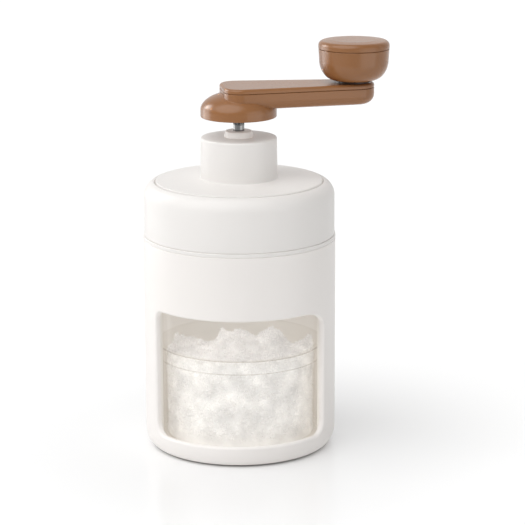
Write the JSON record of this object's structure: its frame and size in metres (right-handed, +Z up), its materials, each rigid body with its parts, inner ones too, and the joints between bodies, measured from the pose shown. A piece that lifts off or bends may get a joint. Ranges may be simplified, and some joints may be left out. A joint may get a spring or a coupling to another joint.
{
  "type": "hand-crank ice shaver",
  "caption": "Round white hand-crank ice shaver: a windowed shell holds a clear cup under a sprung press, with a brown crank and knob on top.",
  "frame": {"origin": "centre of the foot pad's underside, on the surface the ice shaver stands on", "axes": "+Z up along the crank shaft, -Y the front where the window is, +X to the side the crank arm points to at rest"},
  "size_m": [0.1229, 0.096, 0.2039],
  "materials": {
    "shell_white": "satin white moulded plastic",
    "clear_plastic": "clear polished plastic",
    "tan_plastic": "satin warm brown moulded plastic",
    "bearing_plastic": "smooth white bearing plastic",
    "steel": "turned bright steel",
    "rubber_grey": "soft grey rubber"
  },
  "bodies": {
    "base": {"outer_shell": "shell_white", "window_pane": "clear_plastic", "foot_pad": "rubber_grey"},
    "cup": {"ice_cup": "clear_plastic"},
    "chamber": {"ice_chamber": "shell_white", "blade": "steel", "blade_clamp": "steel", "blade_screws": "steel"},
    "seal": {"lid_seal": "rubber_grey"},
    "cover": {"cover_shell": "shell_white", "top_plate": "shell_white", "plate_screws": "steel", "shaft_bush": "shell_white", "spring_seat": "steel", "press_spring": "steel"},
    "carriage": {"thrust_washer": "steel"},
    "crank": {"drive_shaft": "steel", "press_plate": "shell_white", "plate_pin": "steel", "ice_pins": "steel", "crank_body": "tan_plastic", "arm_cover": "tan_plastic", "hub_washer": "steel", "hub_nut": "steel", "knob_axle": "steel", "axle_nut": "steel", "knob_washer": "bearing_plastic"},
    "knob": {"knob_body": "tan_plastic", "knob_bush": "bearing_plastic", "knob_cap": "tan_plastic"}
  },
  "joints": [
    {"name": "cup_lift", "type": "slide", "parent": "base", "child": "cup", "axis": [0, 0, 1], "range_m": [0, 0.11]},
    {"name": "chamber_lift", "type": "slide", "parent": "cup", "child": "chamber", "axis": [0, 0, 1], "range_m": [0, 0.05]},
    {"name": "cover_lift", "type": "slide", "parent": "chamber", "child": "seal", "axis": [0, 0, 1], "range_m": [0, 0.05]},
    {"name": "cover_twist", "type": "hinge", "parent": "seal", "child": "cover", "pos_m": [0, 0, 0.115], "axis": [0, 0, 1], "range_deg": [0, 35]},
    {"name": "press_slide", "type": "slide", "parent": "cover", "child": "carriage", "axis": [0, 0, 1], "range_m": [0, 0.03], "stiffness_N_per_m": 300, "springref_m": -0.03, "deforming": ["press_spring"]},
    {"name": "crank_spin", "type": "hinge", "parent": "carriage", "child": "crank", "pos_m": [0, 0, 0.175], "axis": [0, 0, 1], "continuous": true},
    {"name": "knob_spin", "type": "hinge", "parent": "crank", "child": "knob", "pos_m": [0.05718, 0.00844, 0.19], "axis": [0, 0, 1], "continuous": true}
  ]
}
